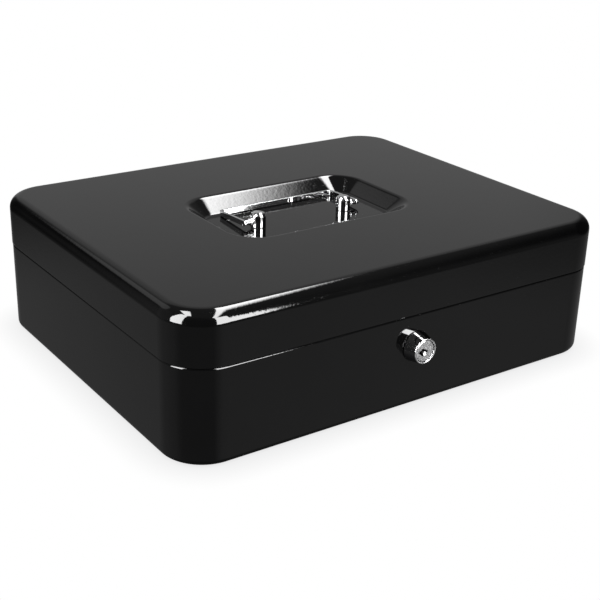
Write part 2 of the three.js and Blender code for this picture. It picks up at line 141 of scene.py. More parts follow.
def new_object(name, verts, faces):
    mesh = bpy.data.meshes.new(name)
    mesh.from_pydata([tuple(vert) for vert in verts], [], faces)
    with edited(mesh) as bm:
        bmesh.ops.remove_doubles(bm, verts=bm.verts, dist=1e-5)
        bmesh.ops.recalc_face_normals(bm, faces=bm.faces)
    piece = bpy.data.objects.new(name, mesh)
    scene.collection.objects.link(piece)
    return piece


def apply_modifiers(piece):
    bpy.context.view_layer.update()
    depsgraph = bpy.context.evaluated_depsgraph_get()
    mesh = bpy.data.meshes.new_from_object(piece.evaluated_get(depsgraph), depsgraph=depsgraph)
    old = piece.data
    piece.modifiers.clear()
    piece.data = mesh
    bpy.data.meshes.remove(old)


def boolean(piece, tool, operation):
    """Apply the tool to the piece and remove the tool."""
    modifier = piece.modifiers.new("boolean", "BOOLEAN")
    modifier.operation = operation
    modifier.solver = "EXACT"
    modifier.object = tool
    apply_modifiers(piece)
    mesh = tool.data
    bpy.data.objects.remove(tool)
    bpy.data.meshes.remove(mesh)


def cut(piece, tool):
    boolean(piece, tool, "DIFFERENCE")


def join(piece, tool):
    boolean(piece, tool, "UNION")


def quarter(steps, flip=False):
    """Angles from 0 to 90 degrees, or back."""
    angles = [PI / 2 * k / steps for k in range(steps + 1)]
    return angles[::-1] if flip else angles


def offset(outline, outward, z):
    """Ring (width, depth, radius, z) a distance outside a rounded rectangle."""
    width, depth, radius = outline
    return (width + 2 * outward, depth + 2 * outward, radius + outward, z)


def ring_points(width, depth, radius, z, arc_steps, support):
    """Rounded rectangle, counter-clockwise from above, with a point just past each arc end."""
    points = []
    slack = min(support, 0.45 * (width - 2 * radius), 0.45 * (depth - 2 * radius))
    for sign_x, sign_y, start in ((1, 1, 0), (-1, 1, PI / 2), (-1, -1, PI), (1, -1, 1.5 * PI)):
        centre_x = sign_x * (width / 2 - radius)
        centre_y = sign_y * (depth / 2 - radius)

        def point(angle, slide):
            cos, sin = math.cos(angle), math.sin(angle)
            x = centre_x + radius * cos - slide * sin
            y = centre_y + radius * sin + slide * cos
            return (x, y, z)

        points.append(point(start, -slack))
        points += [point(start + PI / 2 * k / arc_steps, 0) for k in range(arc_steps + 1)]
        points.append(point(start + PI / 2, slack))
    return points


def skin(name, rows):
    """Closed skin through rows of equally many points, capped at both ends."""
    count = len(rows[0])
    faces = []
    for i in range(len(rows) - 1):
        for k in range(count):
            a, b = i * count + k, i * count + (k + 1) % count
            faces.append((a, b, b + count, a + count))
    faces.append(tuple(reversed(range(count))))
    faces.append(tuple(range((len(rows) - 1) * count, len(rows) * count)))
    return new_object(name, [point for row in rows for point in row], faces)


def loft(rings, name="tool", arc_steps=24, centre=(0, 0), support=SUPPORT):
    """Skin through rings (width, depth, radius, z)."""
    rows = []
    for ring in rings:
        points = ring_points(*ring, arc_steps, support)
        rows.append([(x + centre[0], y + centre[1], z) for x, y, z in points])
    return skin(name, rows)


def round_poly(points, radius, steps=4, closed=True):
    """The polygon with each corner made an arc of the radius, less where a side is short."""
    rounded = []
    count = len(points)
    for i, point in enumerate(points):
        if not closed and i in (0, count - 1):
            rounded.append(tuple(point))
            continue
        corner = Vector(point)
        back = Vector(points[i - 1]) - corner
        ahead = Vector(points[(i + 1) % count]) - corner
        back_length, ahead_length = back.length, ahead.length
        back /= back_length
        ahead /= ahead_length
        half = math.acos(max(-1, min(1, back.dot(ahead)))) / 2
        if half > PI / 2 - 0.06:  # nearly straight
            rounded.append(tuple(corner))
            continue
        trim = min(radius / math.tan(half), 0.42 * back_length, 0.42 * ahead_length)
        arc_r = trim * math.tan(half)
        centre = corner + (back + ahead).normalized() * (arc_r / math.sin(half))
        first, last = corner + back * trim - centre, corner + ahead * trim - centre
        start = math.atan2(first.y, first.x)
        turn = (math.atan2(last.y, last.x) - start + PI) % (2 * PI) - PI
        for k in range(steps + 1):
            angle = start + turn * k / steps
            rounded.append(
                (centre.x + arc_r * math.cos(angle), centre.y + arc_r * math.sin(angle))
            )
    return rounded


# Outline coordinates and a position along the axis, put in x, y, z order
AXES = {
    "Z": lambda first, second, along: (first, second, along),
    "Y": lambda first, second, along: (first, along, second),
    "X": lambda first, second, along: (along, first, second),
}


def prism(outline, axis, start, end, name="tool"):
    """Prism of an outline: XY for axis Z, XZ for axis Y, YZ for axis X."""
    place = AXES[axis]
    count = len(outline)
    verts = [place(*point, along) for along in (start, end) for point in outline]
    faces = [(k, (k + 1) % count, count + (k + 1) % count, count + k) for k in range(count)]
    faces += [tuple(range(count)), tuple(range(count, 2 * count))]
    return new_object(name, verts, faces)


def block(x_span, y_span, z_span, name="tool"):
    (x0, x1), (y0, y1) = x_span, y_span
    return prism([(x0, y0), (x1, y0), (x1, y1), (x0, y1)], "Z", *z_span, name)


def circle(centre, radius, steps=48, phase=0.0):
    points = []
    for k in range(steps):
        angle = 2 * PI * k / steps + phase
        points.append((centre[0] + radius * math.cos(angle), centre[1] + radius * math.sin(angle)))
    return points


def lathe(name, profile, axis, centre, steps=72, closed=False):
    """Turned piece: profile (radius, position on the axis), axis through the centre."""
    place = AXES[axis]
    verts, rows, faces = [], [], []
    for radius, along in profile:
        if radius < 1e-6:
            rows.append([len(verts)] * steps)
            verts.append(place(*centre, along))
        else:
            rows.append(list(range(len(verts), len(verts) + steps)))
            verts += [place(*point, along) for point in circle(centre, radius, steps)]
    pairs = list(zip(rows, rows[1:])) + ([(rows[-1], rows[0])] if closed else [])
    for low, high in pairs:
        for k in range(steps):
            after = (k + 1) % steps
            # a row on the axis is a single point, so its faces are triangles
            face = tuple(dict.fromkeys((low[k], low[after], high[after], high[k])))
            if len(face) > 2:
                faces.append(face)
    return new_object(name, verts, faces)


def bevel(piece, width, segments=2):
    with edited(piece.data) as bm:
        bmesh.ops.remove_doubles(bm, verts=bm.verts, dist=1e-4)
        flat = math.radians(0.5)
        bmesh.ops.dissolve_limit(bm, angle_limit=flat, verts=bm.verts, edges=bm.edges)
    modifier = piece.modifiers.new("bevel", "BEVEL")
    modifier.width = width
    modifier.segments = segments
    modifier.limit_method = "ANGLE"
    modifier.angle_limit = math.radians(32)
    modifier.use_clamp_overlap = True
    apply_modifiers(piece)


def finish_piece(piece, rider, finish, cad_node=None, sharp=38):
    """Scale to metres, shade, coat, ride on the frame body and stand for the CAD node.

    Unless given, the CAD node has the name of the piece without "_skin".
    """
    with edited(piece.data) as bm:
        bmesh.ops.remove_doubles(bm, verts=bm.verts, dist=2e-5)
        bmesh.ops.dissolve_degenerate(bm, edges=bm.edges, dist=1e-5)
        bmesh.ops.recalc_face_normals(bm, faces=bm.faces)
    mesh = piece.data
    mesh.transform(Matrix.Scale(MM, 4))
    mesh.polygons.foreach_set("use_smooth", [True] * len(mesh.polygons))
    mesh.set_sharp_from_angle(angle=math.radians(sharp))
    modifier = piece.modifiers.new("weighted_normal", "WEIGHTED_NORMAL")
    modifier.keep_sharp = True
    modifier.weight = 50
    mesh.materials.clear()
    mesh.materials.append(finish.material)
    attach(piece, rider)
    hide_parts(cad_node or piece.name.replace("_skin", ""))


# ---------------------------------------------------------------- shader helpers
class Signal:
    """An output socket. Arithmetic on it adds Math nodes to its graph."""

    def __init__(self, graph, socket):
        self.graph = graph
        self.socket = socket

    def math(self, operation, *others):
        return self.graph.math(operation, self, *others)

    def __add__(self, other):
        return self.math("ADD", other)

    def __radd__(self, other):
        return self.graph.math("ADD", other, self)

    def __sub__(self, other):
        return self.math("SUBTRACT", other)

    def __rsub__(self, other):
        return self.graph.math("SUBTRACT", other, self)

    def __mul__(self, other):
        return self.math("MULTIPLY", other)

    def __truediv__(self, other):
        return self.math("DIVIDE", other)

    def __rtruediv__(self, other):
        return self.graph.math("DIVIDE", other, self)

    def map_range(self, source, target, **settings):
        inputs = {"Value": self, "From Min": source[0], "From Max": source[1]}
        inputs.update({"To Min": target[0], "To Max": target[1]})
        return self.graph.node("ShaderNodeMapRange", inputs, "Result", **settings)

    def spread(self, low, high, source=(0.3, 0.7)):
        """Linear from low to high over the source span, by default that of most noise."""
        return self.map_range(source, (low, high))

    def step(self, off, on):
        """Smooth step from 0 at off to 1 at on, in either direction."""
        target = (0.0, 1.0) if on >= off else (1.0, 0.0)
        return self.map_range(sorted((off, on)), target, interpolation_type="SMOOTHSTEP")

    def band(self, start, end, soft):
        """1 between start and end, with soft edges."""
        return self.step(start - soft, start + soft) * self.step(end + soft, end - soft)

    def colours(self, low, high):
        """Mix of two colours by this amount."""
        inputs = {0: self, 6: (*low, 1.0), 7: (*high, 1.0)}
        return self.graph.node("ShaderNodeMix", inputs, 2, data_type="RGBA")

    def bump(self, distance, normal=None):
        """Surface normal from this height, over another normal if given."""
        inputs = {"Height": self, "Distance": distance, "Strength": 1.0}
        if normal is not None:
            inputs["Normal"] = normal
        return self.graph.node("ShaderNodeBump", inputs, "Normal")


class Graph:
    """Short-hand for filling an emptied shader tree."""

    def __init__(self, tree):
        self.tree = tree
        tree.nodes.clear()

    def node(self, kind, inputs=None, output=0, **settings):
        """Add a node and return one of its outputs."""
        node = self.tree.nodes.new(kind)
        for setting, value in settings.items():
            setattr(node, setting, value)
        for key, value in (inputs or {}).items():
            if isinstance(value, Signal):
                self.tree.links.new(value.socket, node.inputs[key])
            else:
                node.inputs[key].default_value = value
        return Signal(self, node.outputs[output])

    def math(self, operation, *operands):
        return self.node("ShaderNodeMath", dict(enumerate(operands)), operation=operation)

    def separate(self, vector):
        first = self.node("ShaderNodeSeparateXYZ", {0: vector})
        return [Signal(self, output) for output in first.socket.node.outputs]

    def finish(self, kind, shader):
        """Add the output node and feed it the shader."""
        self.tree.links.new(shader.socket, self.tree.nodes.new(kind).inputs[0])


class Surface(Graph):
    """A new material with a Principled surface, textured in object coordinates."""

    def __init__(self, name):
        self.material = bpy.data.materials.new(name)
        self.material.use_nodes = True
        super().__init__(self.material.node_tree)
        self.coords = self.node("ShaderNodeTexCoord", output="Object")

    def noise(self, scale, detail=2.0, roughness=0.5, vector=None):
        inputs = {"Vector": vector or self.coords, "Scale": scale}
        inputs.update({"Detail": detail, "Roughness": roughness})
        return self.node("ShaderNodeTexNoise", inputs, "Fac")

    def build(self, color, roughness, normal, **others):
        inputs = {"Base Color": color, "Roughness": roughness, "Normal": normal, **others}
        shader = self.node("ShaderNodeBsdfPrincipled", inputs)
        self.finish("ShaderNodeOutputMaterial", shader)
        return self.material


# ---------------------------------------------------------------- materials
def enamel():
    """Gloss black baked enamel: fine orange peel, slight variation of gloss, faint dust."""
    surface = Surface("black_enamel")
    broad = surface.noise(scale=38.0, detail=3.0, roughness=0.55)
    peel = surface.noise(scale=560.0, detail=1.5)
    fine = surface.noise(scale=1700.0, detail=1.0)
    specks = surface.noise(scale=900.0, detail=0.0).step(off=0.735, on=0.79)
    gloss = broad.spread(low=0.025, high=0.045) + fine * 0.02
    unevenness = peel.bump(distance=0.000016, normal=broad.bump(distance=0.00003))
    return surface.build(
        color=broad.colours(low=(0.0003, 0.0003, 0.00032), high=(0.0007, 0.0007, 0.00073)),
        roughness=gloss + specks * 0.08,
        normal=fine.bump(distance=0.0000022, normal=unevenness),
        IOR=1.5,
    )


def chrome():
    """Bright plate over a die casting: mirror with slight waviness and hairline polishing."""
    surface = Surface("chrome")
    wave = surface.noise(scale=260.0)
    hair = surface.noise(scale=2600.0, roughness=0.6)
    return surface.build(
        Metallic=1.0,
        color=wave.colours(low=(0.72, 0.72, 0.725), high=(0.84, 0.84, 0.85)),
        roughness=hair.spread(low=0.02, high=0.055),
        normal=hair.bump(distance=0.0000006, normal=wave.bump(distance=0.000006)),
    )


def lock_face():
    """Chrome gone satin, with faint turning marks round the lock axis."""
    surface = Surface("lock_face_satin")
    mark_pitch = 0.00032
    x, _, z = surface.separate(surface.coords)
    rise = z - LOCK_Z * MM
    radius = (x * x + rise * rise).math("SQRT")
    turning = (radius * (2 * PI / mark_pitch)).math("SINE")
    blotch = surface.noise(scale=700.0, detail=3.0, roughness=0.6)
    grit = surface.noise(scale=4200.0, roughness=0.6)
    # shares of the three textures in the height
    height = turning * 0.3 + (blotch * 0.25 + grit * 0.3)
    return surface.build(
        Metallic=1.0,
        color=blotch.colours(low=(0.60, 0.60, 0.605), high=(0.72, 0.72, 0.725)),
        roughness=blotch.spread(low=0.24, high=0.32),
        normal=height.bump(distance=0.0000035),
    )


def zinc():
    """Zinc plate with a spangle of slightly different greys."""
    surface = Surface("zinc_plate")
    spangle_inputs = {"Vector": surface.coords, "Scale": 420.0}
    spangle = surface.node("ShaderNodeTexVoronoi", spangle_inputs, "Color")
    cell = surface.noise(scale=3.0, detail=0.0, vector=spangle)
    grit = surface.noise(scale=2200.0, detail=3.0, roughness=0.6)
    return surface.build(
        Metallic=1.0,
        color=cell.colours(low=(0.48, 0.49, 0.52), high=(0.68, 0.69, 0.69)),
        roughness=(grit + cell * 0.5).spread(low=0.22, high=0.46, source=(0.4, 1.1)),
        normal=grit.bump(distance=0.00001),
    )


def brass():
    """Stamped brass, its colour darkened as painted shade for the wafers inside the lock."""
    surface = Surface("stamped_brass_painted_shade")
    grit = surface.noise(scale=1500.0, detail=3.0, roughness=0.6)
    return surface.build(
        Metallic=1.0,
        # painted shade: the brass colour is darkened to stand for the shade inside the lock
        color=grit.colours(low=(0.20, 0.13, 0.05), high=(0.34, 0.24, 0.10)),
        roughness=grit.spread(low=0.2, high=0.36),
        normal=grit.bump(distance=0.000012),
    )


def tray_plastic():
    """Moulded black polystyrene with a fine spark-eroded grain."""
    surface = Surface("tray_plastic")
    grain = surface.noise(scale=2100.0, detail=3.0, roughness=0.65)
    broad = surface.noise(scale=30.0, detail=3.0, roughness=0.6)
    return surface.build(
        color=broad.colours(low=(0.011, 0.011, 0.012), high=(0.019, 0.019, 0.0205)),
        roughness=broad.spread(low=0.36, high=0.46) + grain * 0.08,
        normal=grain.bump(distance=0.00004),
        IOR=1.49,
    )


def keyway_painted_shade():
    """Inside of the keyway: near-black colour painted on as the shade in the deep narrow slot."""
    surface = Surface("keyway_painted_shade")
    grit = surface.noise(scale=1800.0, detail=3.0, roughness=0.6)
    return surface.build(
        color=grit.colours(low=(0.004, 0.004, 0.004), high=(0.014, 0.013, 0.012)),
        roughness=grit.spread(low=0.5, high=0.7),
        normal=grit.bump(distance=0.00002),
    )


Finish = namedtuple("Finish", "slot material")
ENAMEL = Finish("black_paint", enamel())
CHROME = Finish("chrome_plate", chrome())
SATIN = Finish("chrome_plate", lock_face())
ZINC = Finish("zinc_plate", zinc())
BRASS = Finish("brass_wafer", brass())
PLASTIC = Finish("tray_plastic", tray_plastic())
# painted shade: near-black material for the walls inside the keyway
KEYWAY_PAINTED_SHADE = keyway_painted_shade()


# ---------------------------------------------------------------- shells
# Stations of the pocket wall, from 0 at the floor to 1 at the opening
POCKET_STATIONS = [
    0, 0.02, 0.04, 0.06, 0.08, 0.10, 0.12, 0.16, 0.30, 0.45, 0.60,
    0.74, 0.78, 0.81, 0.84, 0.87, 0.90, 0.93, 0.96, 0.98, 1.0,
]


def wall_ring(inset, z):
    return offset(LID_OUTLINE, -inset, z)


def pocket_rise(station):
    """Height share of the pocket wall: rounded at the floor, straight, rounded at the rim."""
    low, high = 0.12, 0.78  # ends of the straight part
    slope = 1 / (low / 2 + (high - low) + (1 - high) / 2)
    if station < low:
        return slope * station * station / (2 * low)
    if station < high:
        return slope * (low / 2 + station - low)
    return 1 - slope * (1 - station) ** 2 / (2 * (1 - high))


def pocket_ring(station, grow=0.0, fall=0.0):
    outline = [a + (b - a) * station for a, b in zip(POCKET_FLOOR, POCKET_OPENING)]
    return offset(outline, grow, POCKET_Z + (HEIGHT - POCKET_Z) * pocket_rise(station) - fall)


def hinge_notch(side_sign, y_span, z_span):
    """Tool that clears a shell for a hinge."""
    x, half = side_sign * HINGE_X, HINGE_HALF
    return block((x - half - HINGE_GAP, x + half + HINGE_GAP), y_span, z_span)


def lid():
    """Lid skin, from the pocket floor over the outside and back up the inside."""
    outer_r, inner_r = LID_EDGE_R, LID_EDGE_R - SHEET
    rings = [offset(POCKET_FLOOR, -0.6, POCKET_Z)]
    rings += [pocket_ring(station) for station in POCKET_STATIONS]
    rings.append(offset(POCKET_OPENING, 0.5, HEIGHT))
    rings.append(wall_ring(outer_r + SUPPORT, HEIGHT))
    for a in quarter(16, True):
        inset = outer_r * (1 - math.cos(a))
        rings.append(wall_ring(inset, HEIGHT - outer_r + outer_r * math.sin(a)))
    rings.append(wall_ring(0, HEIGHT - outer_r - SUPPORT))
    # rounded lower edge
    edge_r = 0.22
    rings.append(wall_ring(0, SEAM_Z + 0.8))
    for a in quarter(3):
        rings.append(wall_ring(edge_r * (1 - math.cos(a)), SEAM_Z + edge_r - edge_r * math.sin(a)))
    for a in quarter(3, True):
        inset = SHEET - edge_r * (1 - math.cos(a))
        rings.append(wall_ring(inset, SEAM_Z + edge_r - edge_r * math.sin(a)))
    rings.append(wall_ring(SHEET, SEAM_Z + 0.8))
    # inside
    rings.append(wall_ring(SHEET, HEIGHT - SHEET - inner_r - SUPPORT))
    for a in quarter(8):
        inset = SHEET + inner_r * (1 - math.cos(a))
        rings.append(wall_ring(inset, HEIGHT - SHEET - inner_r + inner_r * math.sin(a)))
    rings.append(wall_ring(SHEET + inner_r + SUPPORT, HEIGHT - SHEET))
    rings.append(offset(POCKET_OPENING, 1.0, HEIGHT - SHEET))
    rings += [pocket_ring(k, grow=0.35, fall=SHEET) for k in reversed(POCKET_STATIONS)]
    rings.append(offset(POCKET_FLOOR, -0.3, POCKET_Z - SHEET))
    shell = loft(rings, "lid_skin")
    post_hole_r = 2.15
    for _, sign in SIDES:
        hole = circle((sign * POST_X, POST_Y), post_hole_r, 40)
        cut(shell, prism(hole, "Z", POCKET_Z - 3, POCKET_Z + 3))
        cut(shell, hinge_notch(sign, (118, 122), (SEAM_Z - 1, SEAM_Z + 4.2)))
    finish_piece(shell, "lid", ENAMEL, "lid_shell")


def base():
    """Base skin, from the bottom up the outside, over the inset rim and down the inside."""
    outer, inner = BASE_INSET, BASE_INSET + SHEET
    outer_r, inner_r = BASE_EDGE_R, BASE_EDGE_R - SHEET
    rings = [wall_ring(outer + outer_r + SUPPORT, 0)]
    for a in quarter(12):
        rings.append(wall_ring(outer + outer_r * (1 - math.sin(a)), outer_r * (1 - math.cos(a))))
    rings.append(wall_ring(outer, outer_r + SUPPORT))
    # shoulder in to the rim
    rings.append(wall_ring(outer, SEAM_Z - 1.7))
    shoulder_r = 1.1
    for a in quarter(8):
        inset = outer + shoulder_r * (1 - math.cos(a))
        rings.append(wall_ring(inset, SEAM_Z - 1.2 + shoulder_r * math.sin(a)))
    rings.append(wall_ring(RIM_INSET, SEAM_Z + 0.3))
    # rounded top of the rim
    edge_r = 0.25
    rings.append(wall_ring(RIM_INSET, RIM_TOP - 0.8))
    for a in quarter(3):
        inset = RIM_INSET + edge_r * (1 - math.cos(a))
        rings.append(wall_ring(inset, RIM_TOP - edge_r + edge_r * math.sin(a)))
    for a in quarter(3, True):
        inset = RIM_INSET + SHEET - edge_r * (1 - math.cos(a))
        rings.append(wall_ring(inset, RIM_TOP - edge_r + edge_r * math.sin(a)))
    rings.append(wall_ring(RIM_INSET + SHEET, RIM_TOP - 0.8))
    # inside
    rings.append(wall_ring(RIM_INSET + SHEET, SEAM_Z - 0.2))
    for a in quarter(5):
        inset = inner + shoulder_r * math.cos(a)
        rings.append(wall_ring(inset, SEAM_Z - 0.7 - shoulder_r * math.sin(a)))
    rings.append(wall_ring(inner, SEAM_Z - 2.4))
    rings.append(wall_ring(inner, SHEET + inner_r + SUPPORT))
    for a in quarter(8, True):
        inset = inner + inner_r * (1 - math.sin(a))
        rings.append(wall_ring(inset, SHEET + inner_r * (1 - math.cos(a))))
    rings.append(wall_ring(inner + inner_r + SUPPORT, SHEET))
    shell = loft(rings, "base_skin")
    for _, sign in SIDES:
        cut(shell, hinge_notch(sign, (116, 122), (SEAM_Z - 4.2, RIM_TOP + 1)))
    lock_hole_r = 7.8
    cut(shell, prism(circle(LOCK_AXIS, lock_hole_r, 64), "Y", -121, -117))
    finish_piece(shell, "base", ENAMEL, "base_shell")


# ---------------------------------------------------------------- handle
def handle_post(side, x):
    """Turned post with a straight side, a small shoulder and a domed top."""
    foot = POCKET_Z + 0.03
    # radius, z
    stem = round_poly(
        [
            (0, POCKET_Z - 3.1), (2.2, POCKET_Z - 3.1), (3.3, POCKET_Z - 2.5),
            (3.3, POCKET_Z - 1.95), (1.95, POCKET_Z - 1.95), (1.95, foot), (POST_R, foot),
            (POST_R, foot + 0.7),
        ],
        0.18, 3, closed=False,
    )
    dome = []
    for a in quarter(14)[:-1]:
        dome.append((POST_R * math.cos(a) ** 0.82, foot + 7.25 + 2.25 * math.sin(a) ** 1.08))
    dome.append((0.0, foot + 7.25 + 2.25))
    profile = stem + [(POST_R, foot + 6.7)] + dome
    post = lathe("handle_post_skin_" + side, profile, "Z", (x, POST_Y))
    cut(post, prism(circle((POST_Y, PIVOT_Z), 1.68, 40), "X", x - 6, x + 6))
    finish_piece(post, "lid", CHROME)


def post_washer(side, x):
    low, high = POCKET_Z - 1.85, POCKET_Z - 0.9
    profile = round_poly([(2.2, low), (5.5, low), (5.5, high), (2.2, high)], 0.15, 3)
    washer = lathe("post_washer_skin_" + side, profile, "Z", (x, POST_Y), closed=True)
    finish_piece(washer, "lid", ZINC)


def bail_pivot(side, sign, x):
    """Pin from inside the post out to the bail arm, with a collar between them."""
    end = BAIL_HALF - POST_X - 0.05
    # radius, distance outward from the post axis
    profile = round_poly(
        [
            (0, -2.6), (1.3, -2.6), (1.55, -2.3), (1.55, POST_R + 0.25), (2.3, POST_R + 0.25),
            (2.3, POST_R + 1.45), (1.55, POST_R + 1.45), (1.55, end), (0, end),
        ],
        0.16, 3, closed=False,
    )
    profile = [(radius, x + sign * out) for radius, out in profile]
    pivot = lathe("bail_pivot_skin_" + side, profile, "X", (POST_Y, PIVOT_Z), steps=48)
    finish_piece(pivot, "bail", CHROME)


def bail():
    """U-shaped strip on edge: a rounded oblong carried round the centre line.

    Drawn flat with the pivot axis on X and the cross-bar towards +Y, then dropped and placed.
    """
    half_t, half_h = BAIL_THICKNESS / 2, BAIL_HEIGHT / 2
    arm_x = BAIL_HALF - half_t
    bar_y = BAIL_REACH - half_t
    bend_r = BAIL_CORNER_R - half_t
    tip = half_h + 0.6  # length of the rounded arm end past the pivot
    path = []  # x, y, outward normal x, y, height share
    for k, a in enumerate(quarter(10)):
        path.append((arm_x, -tip * math.cos(a) * 0.999, 1, 0, math.sin(a) if k else 0.06))
    path.append((arm_x, 0.5, 1, 0, 1))
    path.append((arm_x, bar_y - bend_r - 0.5, 1, 0, 1))
    for a in quarter(12):
        cos, sin = math.cos(a), math.sin(a)
        x, y = arm_x - bend_r + bend_r * cos, bar_y - bend_r + bend_r * sin
        path.append((x, y, cos, sin, 1))
    path.append((arm_x - bend_r - 0.5, bar_y, 0, 1, 1))
    path += [(-x, y, -out_x, out_y, share) for x, y, out_x, out_y, share in reversed(path)]
    corners = [(half_t, -half_h), (half_t, half_h), (-half_t, half_h), (-half_t, -half_h)]
    section = round_poly(corners, 0.42, 5)
    rows = []
    for x, y, out_x, out_y, share in path:
        rows.append([(x + out * out_x, y + out * out_y, up * share) for out, up in section])
    strip = skin("handle_bail_skin", rows)
    for _, sign in SIDES:
        cut(strip, prism(circle((0, 0), 1.6, 40), "X", sign * arm_x - 4, sign * arm_x + 4))
    drop = Matrix.Rotation(-BAIL_DROP, 4, "X")
    strip.data.transform(Matrix.Translation((0, POST_Y, PIVOT_Z)) @ drop)
    finish_piece(strip, "bail", CHROME, sharp=50)


def handle():
    for side, sign in SIDES:
        x = sign * POST_X
        handle_post(side, x)
        post_washer(side, x)
        bail_pivot(side, sign, x)
    bail()


# ---------------------------------------------------------------- lock
def lock_body():
    """Barrel with a tapered collar in front of the wall."""
    face, seat = LOCK_FACE_Y, -119.75
    # radius, y
    profile = [
        (7.6, seat), (8.9, seat), (9.3, seat - 0.6), (7.68, face + 0.35), (7.45, face),
        (6.75, face), (6.5, face + 0.3), (6.5, -125.1), (5.3, -125.1), (5.3, -104.6),
        (7.6, -104.6),
    ]
    rounded = round_poly(profile, 0.22, 4)
    barrel = lathe("lock_body_skin", rounded, "Y", LOCK_AXIS, steps=96, closed=True)
    finish_piece(barrel, "base", CHROME)
    # the rim of the collar is satin like the plug face
    barrel.data.materials.append(SATIN.material)
    for polygon in barrel.data.polygons:
        if polygon.center.y < (face + 0.3) * MM and polygon.normal.y < -0.75:
            polygon.material_index = 1


def lock_nut():
    hexagon = circle(LOCK_AXIS, 10 / math.cos(PI / 6), 6, PI / 6)
    nut = prism(hexagon, "Y", -118.8, -114.6, "lock_nut_skin")
    cut(nut, prism(circle(LOCK_AXIS, 7.7, 64), "Y", -120, -113))
    bevel(nut, 0.3, 3)
    finish_piece(nut, "base", ZINC)


# Keyway outline: x, height above the lock axis
KEYWAY = [
    (-4.8, -0.3), (-3.3, -1.45), (-2.2, -2.6), (-1.15, -2.9), (-0.95, -2.0),
    (-1.85, -0.95), (-0.7, -0.4), (1.0, -1.0), (1.8, -1.05), (1.95, -0.3),
    (1.7, 0.4), (-1.4, 1.8), (-2.2, 1.65), (-3.2, 0.75), (-4.8, 0.55),
]


def lock_plug():
    """Turned plug with a square tail, keyway, screw hole and wafer slots."""
    face = LOCK_FACE_Y
    # radius, y
    profile = [
        (0, face + 0.45), (6.25, face + 0.45), (6.25, -125.25), (5.1, -125.25),
        (5.1, -104.35), (0, -104.35),
    ]
    rounded = round_poly(profile, 0.25, 4, closed=False)
    plug = lathe("lock_plug_skin", rounded, "Y", LOCK_AXIS, steps=96)
    join(plug, block((-2.5, 2.5), (-104.6, -102.95), (LOCK_Z - 2.5, LOCK_Z + 2.5)))
    keyway = round_poly([(x, z + LOCK_Z) for x, z in KEYWAY], 0.16, 3)
    cut(plug, prism(keyway, "Y", face - 1, -108))
    # lead-in under the middle of the keyway, sloping in and up
    lead = prism(circle((0.15, LOCK_Z - 1.55), 1.2, 40), "Y", face - 1, face + 3)
    slope = [
        (face - 1.5, LOCK_Z - 3.4), (face + 0.45, LOCK_Z - 2.75),
        (face + 1.35, LOCK_Z - 0.4), (face - 1.5, LOCK_Z - 0.4),
    ]
    boolean(lead, prism(slope, "X", -3, 3), "INTERSECT")
    cut(plug, lead)
    cut(plug, prism(circle(LOCK_AXIS, 1.35, 32), "Y", -106.8, -102))
    for y in WAFER_YS:
        cut(plug, block((-5.6, 5.6), (y - 0.55, y + 0.55), (LOCK_Z - 2.1, LOCK_Z + 2.1)))
    finish_piece(plug, "lock", SATIN, sharp=30)
    # painted shade on the walls inside the keyway: a near-black material stands in for the shade
    # in the slot
    plug.data.materials.append(KEYWAY_PAINTED_SHADE)
    for polygon in plug.data.polygons:
        centre = polygon.center / MM
        inside = math.hypot(centre.x, centre.z - LOCK_Z) < 5.0
        if centre.y > face + 1.5 and inside and abs(polygon.normal.y) < 0.5:
            polygon.material_index = 1


def wafers():
    """Four plates whose windows narrow from front to back."""
    for i, y in enumerate(WAFER_YS):
        z_span = (LOCK_Z - 2.0, LOCK_Z + 2.0)
        wafer = block((-4.35, 4.35), (y - 0.4, y + 0.4), z_span, "wafer_skin_%d" % (i + 1))
        window = (-4.05 + 0.2 * i, 2.1 - 0.1 * i)
        cut(wafer, block(window, (y - 1, y + 1), (LOCK_Z - 1.7, LOCK_Z + 1.7)))
        bevel(wafer, 0.1)
        finish_piece(wafer, "lock", BRASS)


def lock_cam():
    """Plate reaching up from the tail of the plug."""
    outline = []
    for k in range(25):
        a = PI + PI * k / 24
        outline.append((CAM_HUB_R * math.cos(a), CAM_HUB_R * math.sin(a)))
    for k in range(21):
        a = PI * k / 20
        z = CAM_REACH - CAM_TIP_R + CAM_TIP_R * math.sin(a)
        outline.append((CAM_TIP_R * math.cos(a), z))
    outline = [(x, z + LOCK_Z) for x, z in outline]
    plate = prism(outline, "Y", -104.25, -102.75, "lock_cam_skin")
    cut(plate, block((-2.55, 2.55), (-105, -102), (LOCK_Z - 2.55, LOCK_Z + 2.55)))
    bevel(plate, 0.18, 3)
    finish_piece(plate, "lock", ZINC)


def cam_screw():
    """Screw with a cross recess in its head."""
    # radius, y
    profile = [
        (0, -106.4), (1.2, -106.4), (1.2, -102.65), (3.8, -102.65), (3.8, -101.6),
        (3.1, -101.1), (0, -101.1),
    ]
    screw = lathe("cam_screw_skin", round_poly(profile, 0.25, 4, closed=False), "Y", LOCK_AXIS)
    for half_x, half_z in ((2.3, 0.45), (0.45, 2.3)):
        z_span = (LOCK_Z - half_z, LOCK_Z + half_z)
        cut(screw, block((-half_x, half_x), (-101.8, -100.8), z_span))
    finish_piece(screw, "lock", ZINC)


